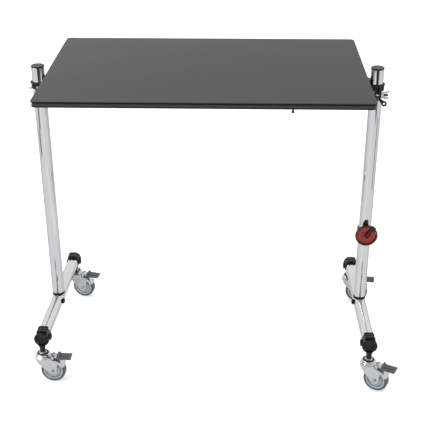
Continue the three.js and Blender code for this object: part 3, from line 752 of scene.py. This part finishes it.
def sleeve_raw(side):
    """Black end sleeve for the front end of a foot, with its lug, boss and neck."""
    face = -FOOT_END_Y
    z = FOOT_AXIS_Z
    r = SLEEVE_RADIUS
    disc = along(lathe([
        (0, 0.6), (8, 0.5), (r - 3.2, 0.1), (r - 2.4, -0.1), (r - 1.2, 0.4), (r - 0.3, 1.6),
        (r, 2.6), (r, SLEEVE_DISC - 1), (r - 0.7, SLEEVE_DISC), (0, SLEEVE_DISC)], 96), "y")
    disc = shifted(disc, y=face, z=z)
    barrel_start = SLEEVE_DISC - 0.2
    barrel = along(lathe([
        (TUBE_RADIUS + GAP, barrel_start), (r - 1.5, barrel_start),
        (r - 1.5, SLEEVE_LENGTH - 1.2), (r - 2.2, SLEEVE_LENGTH),
        (TUBE_RADIUS + GAP, SLEEVE_LENGTH)], 96), "y")
    barrel = shifted(barrel, y=face, z=z)
    top = z + r
    lug_y = face + SLEEVE_LENGTH / 2 + 5
    half_lug = (SLEEVE_LENGTH - 10) / 2
    ribs = []
    for low, high in ((-half_lug, -half_lug + 9.5), (-half_lug + 12, -half_lug + 20),
                      (-half_lug + 22.5, half_lug)):
        shoulders = rounded([(-16.5, top - 8, 0), (16.5, top - 8, 0), (16.5, top + 4, 4.5),
                             (-16.5, top + 4, 4.5)], 6)
        ribs.append(prism(shoulders, high - low, lug_y + (low + high) / 2, 0.9))
    web = block((29, 2 * half_lug - 1, 8), (0, lug_y, top - 4.4), edge=0.6, corner=2)
    bolts = [bar(3.6, 35.6, "x", (0, lug_y + y, top - 1.5), 32, 0.8) for y in (-11, 8.5)]
    boss = along(lathe([
        (0, -4), (12, -4), (12, 1.4), (11.2, 2.6), (9, 3), (7.6, 2.6), (6.6, 1.2), (0, 1)], 48),
        "x")
    boss = shifted(facing_in(boss, side), INWARD[side] * r, face + SLEEVE_LENGTH / 2 + 3, z)
    neck = shifted(lathe([
        (0, NECK_BOTTOM), (8.9, NECK_BOTTOM), (9.5, NECK_BOTTOM + 0.7), (9.5, NECK_BOTTOM + 9),
        (9.8, NECK_BOTTOM + 13), (10.8, NECK_BOTTOM + 18), (12.8, NECK_BOTTOM + 23),
        (13.6, NECK_BOTTOM + 27), (0, NECK_BOTTOM + 27)], 64), y=-STEM_Y)
    # A wedge runs from the neck up the end disc.
    wedge = prism(rounded([
        (-8.6, NECK_BOTTOM + 8, 0), (8.6, NECK_BOTTOM + 8, 0), (9.4, NECK_BOTTOM + 24, 3),
        (3.6, z + 6, 3), (-3.6, z + 6, 3), (-9.4, NECK_BOTTOM + 24, 3)]), 9, face + 3.6, 1.2)
    gussets = []
    for s in (-1, 1):
        slim = rounded([(-1.5, -16, 1), (1.5, -16, 1), (2.2, 14, 2), (-2.2, 14, 2)], 4)
        leaning = turned(prism(slim, 7, 0, 1.6), s * 27, "Y")
        gussets.append(shifted(leaning, s * 12, face + 0.8, z - 1))
    return together(disc, barrel, *ribs, web, *bolts, boss, neck, wedge, *gussets)


def make_sleeve(caster):
    """The rear sleeve of a foot mirrors the front one."""
    end, side = caster.split("_")
    raw = sleeve_raw(side)
    if end == "rear":
        mirror = Matrix.Scale(-1, 4, (0, 1, 0))
        points, faces = placed(raw, mirror)
        raw = points, [tuple(reversed(face)) for face in faces]
    piece(f"end_sleeve_{caster}", plain(raw), black_plastic, f"{side}_leg",
          foot_matrix(side))


# --------------------------------------------------------------------- casters

PEDAL_X = 33.0
PEDAL_Z = HEAD_BOTTOM + 10
PLATE_Y = 15.5
PLATE = 2.5             # thickness of the fork's plates
FENDER_INNER = WHEEL_RADIUS - 6
FENDER_OUTER = WHEEL_RADIUS + 4
FENDER_SKIN = 2
FENDER_END = 28         # degrees above the level of the axle where the fender ends
TYRE_DEPTH = 9


def stem_nut_mesh():
    """Washer, hex nut and the threaded stem in the sleeve's neck."""
    low = HEAD_TOP + GAP + 2.5
    nut = shifted(hexagon(19, 4.6, 0.7), z=low + 0.2)
    washer = lathe([(0, low - 0.2), (12.6, low - 0.2), (13, low + 0.2), (13, low + 0.9),
                    (12.6, low + 1.2), (0, low + 1.2)], 48)
    bottom, top = HEAD_TOP - 11, HEAD_TOP + 28
    shank = lathe([(0, bottom), (STEM_RADIUS, bottom), (STEM_RADIUS, top - 1),
                   (STEM_RADIUS - 1, top), (0, top)], 32)
    return plain(together(nut, washer, shank))


def seal_mesh():
    """The flat ring between the swivel head and the hex nut."""
    low = HEAD_TOP + GAP
    return plain(lathe([
        (STEM_BORE, low), (19.4, low), (20, low + 0.5), (20, low + 1.4), (19.2, low + 2.1),
        (15, low + 2.5), (STEM_BORE, low + 2.5)], 64))


def fork_mesh():
    """Stepped swivel head, two cheeks that reach down to the axle, and the fender."""
    low = HEAD_BOTTOM
    head = lathe([
        (0, low), (25.5, low), (27.4, low + 1), (28, low + 2.6), (28, low + 7.4),
        (27.4, low + 8.8), (25.8, low + 9.6), (25.8, low + 10.6), (26.8, low + 11.2),
        (26.8, low + 12.6), (25.4, low + 13.8), (23.4, low + 14.4), (22.6, low + 15.4),
        (22.6, low + 16.2), (21.6, low + 17.2), (19.4, low + 18.2), (18, low + 19.6),
        (17, HEAD_TOP), (STEM_BORE, HEAD_TOP), (STEM_BORE, HEAD_TOP - 8), (0, HEAD_TOP - 8)], 96)
    outline = [(-22, low + 9), (-22, low - 3), (-19.6, low - 9), (-13, low - 18),
               *arc(AXLE, 12, -146, -4, 12), *arc(AXLE, FENDER_INNER, 62, FENDER_END, 8),
               *arc(AXLE, FENDER_OUTER, FENDER_END, 92, 14), (TRAIL - 6, low + 8.6)]
    cheeks = []
    for s in (-1, 1):
        cheeks.append(prism(outline, PLATE, s * PLATE_Y, 0.5))
        swage = rounded([(-14, low + 3, 3), (-12, low - 9, 6), (18, 52, 6), (28, 52, 4),
                         (27, low + 3, 4)], 6)
        cheeks.append(prism(swage, 1.6, s * (PLATE_Y + 0.9), 0.7))
        cheeks.append(block((9, 2, 12), (PEDAL_X, s * 13.4, low + 8), 0.4, 0.6))
    width = 2 * PLATE_Y + PLATE
    hood = block((33, width, PLATE), (15.5, 0, low - 1), 0.4, 1)
    cover = prism([*arc(AXLE, FENDER_OUTER, FENDER_END, 99, 18),
                   *arc(AXLE, FENDER_OUTER - FENDER_SKIN, 99, FENDER_END, 18)], width, 0, 0.4)
    pocket = block((14, 2 * PLATE_Y - 8, 30), (PEDAL_X + 4, 0, low + 16), 0, 0)
    shoe_slot = block((14, 18, 16), (PEDAL_X + 9, 0, low - 2), 0, 1.5)
    return carve([head, *cheeks, hood, cover], [pocket, shoe_slot])


def axle_mesh():
    """A bolt through the cheeks and the wheel, with its head and nut."""
    reach = PLATE_Y + PLATE / 2 + GAP
    shank = bar(WHEEL_AXLE_RADIUS, 2 * reach + 2, "y", (0, 0, 0), 32)
    bolt_head = turned(shifted(hexagon(11.2, 3.5, 0.6), z=reach), -90, "X")
    nut = turned(bolt_head, 180, "X")
    end = bar(2.6, 1.4, "y", (0, reach + 3.2, 0), 24, 0.4)
    return plain(shifted(together(shank, bolt_head, nut, end), TRAIL, 0, WHEEL_RADIUS))


def wheel_side(levels, half):
    """Mirror one face's [radius, inset from the face] levels onto both faces."""
    near = [(radius, -half + inward) for radius, inward in levels]
    far = [(radius, half - inward) for radius, inward in reversed(levels)]
    return near + far


def rim_mesh():
    """Hub, web with a raised ring, a deep groove, and the flange that holds the tyre."""
    half = WHEEL_WIDTH / 2
    outer = WHEEL_RADIUS - TYRE_DEPTH
    levels = [(WHEEL_AXLE_RADIUS + GAP, -0.8), (9.2, -0.8), (10, -0.2), (10.4, 3), (12, 3.6),
              (18, 3.6), (19.2, 2.4), (20, 1.6), (22.4, 1.6), (23, 3), (23.4, 7.5), (27.4, 7.5),
              (28, 1.6), (29.2, 0.6), (outer - 0.6, 0.6), (outer, 1.2)]
    raw = along(lathe(wheel_side(levels, half), 96), "y")
    return plain(shifted(raw, TRAIL, 0, WHEEL_RADIUS))


def tyre_mesh():
    """A tyre with rounded shoulders and a shallow groove round its middle."""
    half = WHEEL_WIDTH / 2
    inner = WHEEL_RADIUS - TYRE_DEPTH + GAP
    levels = [(inner, 0.6), (inner + 0.8, 0.1), (WHEEL_RADIUS - 4, 0), (WHEEL_RADIUS - 2.2, 0.7),
              (WHEEL_RADIUS - 0.9, 2.2), (WHEEL_RADIUS - 0.2, 4.2), (WHEEL_RADIUS, 6.4),
              (WHEEL_RADIUS, 11.2), (WHEEL_RADIUS - 0.4, 11.8)]
    raw = along(lathe(wheel_side(levels, half), 128), "y")
    return plain(shifted(raw, TRAIL, 0, WHEEL_RADIUS))


def pedal_mesh():
    """Tread with cross grooves, a raised heel and ribs underneath."""
    top, low = 1.5, -5.5
    heel, back, toe = 7.0, 15.5, 64
    profile = [(back, low, 1), (toe, low, 1.6), (toe, top, 1.6)]
    for out in (53, 47, 41, 35, 29):
        profile += [(out + 1.1, top, 0), (out + 1.0, top - 1.5, 0.3), (out - 1.0, top - 1.5, 0.3),
                    (out - 1.1, top, 0)]
    profile += [(25, top, 0.8), (23.4, heel, 1.4), (back, heel, 1.6)]
    tread = prism(rounded(profile, 3), 34, 0, 0.9)
    ribs = [block((40, 1.6, 1.4), (42, y, low - 0.2), 0.3, 0.4) for y in (-12, 0, 12)]
    return plain(shifted(together(tread, *ribs), PEDAL_X, 0, PEDAL_Z))


def lever_mesh():
    """Plated lever between the pedal and its pin, with the shoe that bears on the tyre."""
    tongue = block((22, 20, 5), (10, 0, -0.5), 0.6, 1)
    fold = block((12, 22, 2), (10, 0, 2.4), 0.5, 1.5)
    shoe = block((9, 14, 10), (9, 0, -7.5), 0.5, 1)
    pin = bar(2, 29.5, "y", (0, 0, 0), 24)
    return plain(shifted(together(tongue, fold, shoe, pin), PEDAL_X, 0, PEDAL_Z))


def make_casters():
    """Each caster piece is made once, and used four times."""
    # Piece, node, mesh, material, slot, and the kind of body it rides on.
    kinds = [
        ("caster_stem", "caster_stem", stem_nut_mesh(), zinc, "zinc", "leg"),
        ("caster_seal", "caster_stem", seal_mesh(), seal_black, "black_plastic", "leg"),
        ("caster_fork", "caster_fork", fork_mesh(), zinc, "zinc", "swivel"),
        ("wheel_axle", "wheel_axle", axle_mesh(), steel, "steel", "swivel"),
        ("wheel_rim", "wheel_rim", rim_mesh(), rim_plastic, "rim_plastic", "wheel"),
        ("wheel_tyre", "wheel_tyre", tyre_mesh(), tyre, "tyre", "wheel"),
        ("brake_pedal", "brake_pedal", pedal_mesh(), pedal_plastic, "pedal_plastic", "pedal"),
        ("brake_lever", "brake_pedal", lever_mesh(), zinc, "zinc", "pedal"),
    ]
    for caster in CASTERS:
        side = caster.split("_")[1]
        place = caster_matrix(caster)
        for name, node, mesh, material, slot, owner in kinds:
            body = f"{side}_leg" if owner == "leg" else f"{owner}_{caster}"
            piece(f"{node}_{caster}", mesh, material, body, place,
                  f"{name}_{caster}_piece")


# ----------------------------------------------------------------- crank wheel

BRACKET_FRONT = -33.0
WHEEL_BACK = BRACKET_FRONT - GAP
RECESS_FLOOR = WHEEL_BACK - 4.2
GRIP_Y = RECESS_FLOOR - 6
GRIP_ANGLE = 55         # from +X up to the folded grip, in degrees
GRIP_HINGE = 29.0
CRANK_RADIUS = 38.2
CRANK_AXLE_RADIUS = 5.0
CRANK_BORE = CRANK_AXLE_RADIUS + GAP


def make_crank():
    """Everything is made about the wheel's axis, then put on the right column."""
    column = centre_of("column_tube_right")
    crank_at = joint_place("crank_turn")
    place = Matrix.Translation((crank_at.x, column.y, crank_at.z))
    offset = (column.x - crank_at.x) / MM
    ring_low, ring_high = -23, 11
    ring = shifted(lathe([
        (TUBE_RADIUS + GAP, ring_low + 0.5), (25.2, ring_low), (26, ring_low + 0.8),
        (26, ring_high - 0.8), (25.2, ring_high), (TUBE_RADIUS + GAP, ring_high - 0.5)], 96),
        x=offset)
    # The upright is a flat post with a round top, a little to the left of the wheel's axis.
    middle, half, arch_z, foot_z, thick = -3.7, 9.5, 36, -24, 10.5
    upright = prism([(middle + half, foot_z), *arc((middle, arch_z), half, 0, 180, 15),
                     (middle - half, foot_z)], thick, BRACKET_FRONT + thick / 2, 1.0)
    bracket = carve([ring, upright], [
        bar(TUBE_RADIUS + GAP, 120, "z", (offset, 0, 0), 96),
        bar(CRANK_BORE, 30, "y", (0, BRACKET_FRONT, 0), 32)])
    piece("crank_bracket", bracket, black_casting, "right_leg", place)

    axle = together(
        bar(CRANK_AXLE_RADIUS, 13.4, "y", (0, BRACKET_FRONT + 1.5, 0), 40),
        bar(6.5, 2, "y", (0, RECESS_FLOOR - 1.5, 0), 40, 0.5),
        shifted(turned(hexagon(8, 1.2, 0.3), 90, "X"), y=RECESS_FLOOR - 2.3))
    piece("crank_axle", plain(axle), steel, "right_leg", place)

    def radial(size, radius, y, edge=0.5, corner=0.8):
        """A block on the line of the grip, at a distance from the axis."""
        raw = block(size, (radius, 0, 0), edge, corner)
        return shifted(turned(raw, -GRIP_ANGLE, "Y"), y=y)

    facing = Matrix.Translation((0, WHEEL_BACK, 0)) @ Matrix.Rotation(math.pi, 4, "X")
    dish = placed(along(lathe([
        (CRANK_BORE, 0), (12, 0), (12.6, 2.4), (13.4, 3), (30.9, 3), (31.5, 3.6),
        (31.5, 7.2), (30.8, 8), (27.6, 8.6), (26.4, 8.2), (25.4, 7.2), (16, 6.4), (14.2, 7),
        (13.2, 8.4), (12.6, 11), (11.8, 12.1), (CRANK_BORE, 12.2)], 96), "y"), facing)
    rim = placed(along(lathe([
        (32, 2.4), (32.8, 1.5), (36.2, 1.5), (37.6, 2.6), (CRANK_RADIUS, 4.6),
        (CRANK_RADIUS, 9.4), (37.6, 11.4), (36.4, 12.4), (34.4, 12.4), (32.8, 11.4),
        (32, 9.8)], 96), "y"), facing)
    recess = radial((GRIP_HINGE + 12, 12, 18), (GRIP_HINGE - 2) / 2, RECESS_FLOOR - 6, 0, 0.5)
    notch = radial((20, 12, 18), CRANK_RADIUS, GRIP_Y - 1.6, 0, 0.5)
    piece("crank_wheel", carve([dish], [recess]), red_plastic, "crank", place)
    piece("crank_rim", carve([rim], [notch]), dark_red_plastic, "crank",
          place)

    seat = radial((8.6, 7.4, 17), CRANK_RADIUS - 1, GRIP_Y + 0.4)
    cheeks = radial((9, 7.4, 17), GRIP_HINGE + 1.4, GRIP_Y + 0.4)
    gap = radial((12, 20, 9), GRIP_HINGE - 1, GRIP_Y, 0, 0.4)
    hinge = carve([seat, cheeks], [gap])
    piece("crank_hinge", hinge, crank_black, "crank", place)

    # The grip narrows from its round free end, on the axis, to its hinge.
    outline = [(GRIP_HINGE, 3.9), (16, 4.4), (6, 5.6), *arc((0, 0), 5.8, 90, 270, 12),
               (6, -5.6), (16, -4.4), (GRIP_HINGE, -3.9)]
    handle = prism(outline, 6, 0, 1.2)
    flutes = [block((1.2, 6.5, 7), (x, -0.2, 0), 0.3, 0.3) for x in (8, 11, 14, 17)]
    knuckle = bar(3, 7.8, "z", (GRIP_HINGE, 0, 0), 32)
    pin = bar(1.5, 16.6, "z", (GRIP_HINGE, 0, 0), 24)
    grip = shifted(turned(together(handle, *flutes, knuckle, pin), -GRIP_ANGLE, "Y"), y=GRIP_Y)
    piece("crank_grip", plain(grip), crank_black, "grip", place)


make_table()
make_peg()
for side_name in SIDES:
    make_rail(side_name)
    make_clamp(side_name)
    make_bolt(side_name)
    make_wing_nut(side_name)
    make_leg(side_name)
for caster_name in CASTERS:
    make_sleeve(caster_name)
make_casters()
make_crank()


# ---------------------------------------------------------------------- studio


FLOOR_HALF = 60.0       # metres, as everything in the studio
FLOOR_GLOW = 0.35       # the floor is a white sweep that is lit from below
CARD_HALF = 6.0
CARD_REACH = 8.0
CARD_HEIGHT = 0.002
STRIPE_HEIGHT = 0.003   # of the first stripe; each next one lies a step higher
STRIPE_STEP = 0.0005
FRONT_GREY, BACK_GREY = 0.86, 0.72


def make_floor():
    half = FLOOR_HALF
    mesh = bpy.data.meshes.new("floor")
    mesh.from_pydata([(-half, -half, 0), (half, -half, 0), (half, half, 0), (-half, half, 0)],
                     [], [(0, 1, 2, 3)])
    mesh.update()
    floor = added("floor", mesh)
    pale = finish("floor", (0.86, 0.86, 0.86), 0.9, mottle=0.004, bump=0.0, specular=0.1)
    shader = pale.node_tree.nodes["Principled BSDF"]
    shader.inputs["Emission Color"].default_value = (1, 1, 1, 1)
    shader.inputs["Emission Strength"].default_value = FLOOR_GLOW
    mesh.materials.append(pale)


def glow(name, level):
    """A plain grey that gives light."""
    material = bpy.data.materials.new(name)
    material.use_nodes = True
    tree = material.node_tree
    tree.nodes.clear()
    emission = tree.nodes.new("ShaderNodeEmission")
    emission.inputs["Color"].default_value = (level, level, level * 1.01, 1)
    output = tree.nodes.new("ShaderNodeOutputMaterial")
    tree.links.new(emission.outputs["Emission"], output.inputs["Surface"])
    return material


def reflection_card(name, outline, height, level):
    """A glowing card on the floor that shows only in polished surfaces: a painted reflection."""
    mesh = bpy.data.meshes.new(name)
    mesh.from_pydata([(x, y, height) for x, y in outline], [], [tuple(range(len(outline)))])
    mesh.update()
    mesh.materials.append(glow(name, level))
    card = added(name, mesh)
    card.visible_camera = False
    card.visible_diffuse = False
    card.visible_shadow = False
    card.visible_transmission = False


def sector(centre, start, end, near, far):
    """A ring sector; angles run from the front (-Y) towards +X, in degrees."""
    steps = 8
    inner, outer = [], []
    for i in range(steps + 1):
        angle = math.radians(start + (end - start) * i / steps)
        way = Vector((math.sin(angle), -math.cos(angle)))
        inner.append(tuple(centre + way * near))
        outer.append(tuple(centre + way * far))
    return inner + outer[::-1]


def make_reflections():
    """Painted reflections that the tubes pick up from glowing floor cards: darker behind them,
    with stripes round each column.
    """
    left = centre_of("column_tube_left").xy
    right = centre_of("column_tube_right").xy
    for name, near, far, level in (("reflection_front", -CARD_REACH, 0, FRONT_GREY),
                                   ("reflection_back", 0, CARD_REACH, BACK_GREY)):
        outline = [(-CARD_HALF, near), (CARD_HALF, near), (CARD_HALF, far), (-CARD_HALF, far)]
        reflection_card(name, outline, CARD_HEIGHT, level)
    # Column, first and last angle, nearest and farthest reach, brightness.
    stripes = [
        (right, -42, -18, 0.2, 3.0, 0.95), (right, -18, 16, 2.75, 4.2, 0.04),
        (right, 16, 40, 2.75, 4.5, 0.7), (right, 16, 40, 2.25, 2.75, 0.25),
        (right, 56, 72, 1.3, 2.3, 0.3), (right, 120, 175, 0.15, 2.5, 0.6),
        (left, -60, -34, 2.1, 2.7, 0.25), (left, -6, 40, 2.85, 4.2, 0.04),
        (left, -80, -52, 1.7, 2.1, 0.3), (left, -175, -120, 0.15, 2.5, 0.6),
    ]
    for i, (centre, start, end, near, far, level) in enumerate(stripes):
        reflection_card(f"stripe_{i}", sector(centre, start, end, near, far),
                   STRIPE_HEIGHT + STRIPE_STEP * i, level)


def area_light(name, place, target, size, power):
    """A rectangular light at a place, in metres, aimed at a target."""
    data = bpy.data.lights.new(name, "AREA")
    data.shape = "RECTANGLE"
    data.size, data.size_y = size
    data.energy = power
    light = added(name, data)
    light.location = place
    light.rotation_euler = (Vector(target) - Vector(place)).to_track_quat("-Z", "Y").to_euler()


REFLECTED_SKY = 0.72    # the sky looks greyer in polished metal than it lights
SKY_FRONT, SKY_BACK = 0.6, 1.3      # strength of its light from the front and from behind
SKY_BLEND = (-0.7, 0.3)             # it changes between these directions along Y


def make_world():
    """A white sky; the light from it is dimmer on the front side and in reflections."""
    world = bpy.data.worlds.new("studio")
    bpy.context.scene.world = world
    world.use_nodes = True
    tree = world.node_tree
    background = tree.nodes["Background"]
    background.inputs["Color"].default_value = (1, 1, 1, 1)
    place = tree.nodes.new("ShaderNodeTexCoord")
    split = tree.nodes.new("ShaderNodeSeparateXYZ")
    level = tree.nodes.new("ShaderNodeMapRange")
    level.inputs["From Min"].default_value, level.inputs["From Max"].default_value = SKY_BLEND
    level.inputs["To Min"].default_value = SKY_FRONT
    level.inputs["To Max"].default_value = SKY_BACK
    tree.links.new(place.outputs["Generated"], split.inputs["Vector"])
    tree.links.new(split.outputs["Y"], level.inputs["Value"])
    path = tree.nodes.new("ShaderNodeLightPath")
    dim = tree.nodes.new("ShaderNodeMapRange")
    dim.inputs["To Min"].default_value = 1.0
    dim.inputs["To Max"].default_value = REFLECTED_SKY
    tree.links.new(path.outputs["Is Glossy Ray"], dim.inputs["Value"])
    both = tree.nodes.new("ShaderNodeMath")
    both.operation = "MULTIPLY"
    tree.links.new(level.outputs["Result"], both.inputs[0])
    tree.links.new(dim.outputs["Result"], both.inputs[1])
    seen = tree.nodes.new("ShaderNodeMix")
    seen.inputs["B"].default_value = 1.0
    tree.links.new(path.outputs["Is Camera Ray"], seen.inputs["Factor"])
    tree.links.new(both.outputs["Value"], seen.inputs["A"])
    tree.links.new(seen.outputs["Result"], background.inputs["Strength"])
    bpy.context.scene.view_settings.view_transform = "Standard"


# The camera's place from the middle of the table top, in metres, its turns in degrees and its
# lens in millimetres.
CAMERA_FROM_TOP = Vector((0.10618, -2.80696, 0.91688))
CAMERA_YAW, CAMERA_PITCH, CAMERA_ROLL = -1.754, 27.11, -0.186
CAMERA_LENS = 77.55
SENSOR_WIDTH = 36


def make_camera():
    data = bpy.data.cameras.new("camera")
    data.sensor_width = SENSOR_WIDTH
    data.lens = CAMERA_LENS
    camera = added("camera", data)
    yaw, pitch, roll = (math.radians(v) for v in (CAMERA_YAW, CAMERA_PITCH, CAMERA_ROLL))
    turn = (Matrix.Rotation(-yaw, 4, "Z") @ Matrix.Rotation(math.pi / 2 - pitch, 4, "X")
            @ Matrix.Rotation(roll, 4, "Z"))
    top = table_matrix.translation + Vector((0, 0, TABLE_TOP * MM))
    camera.matrix_world = Matrix.Translation(top + CAMERA_FROM_TOP) @ turn
    bpy.context.scene.camera = camera


make_floor()
make_reflections()
area_light("key", place=(-2.4, -0.6, 3.2), target=(0, 0, 0.9), size=(2.0, 2.0), power=70)
make_world()
make_camera()
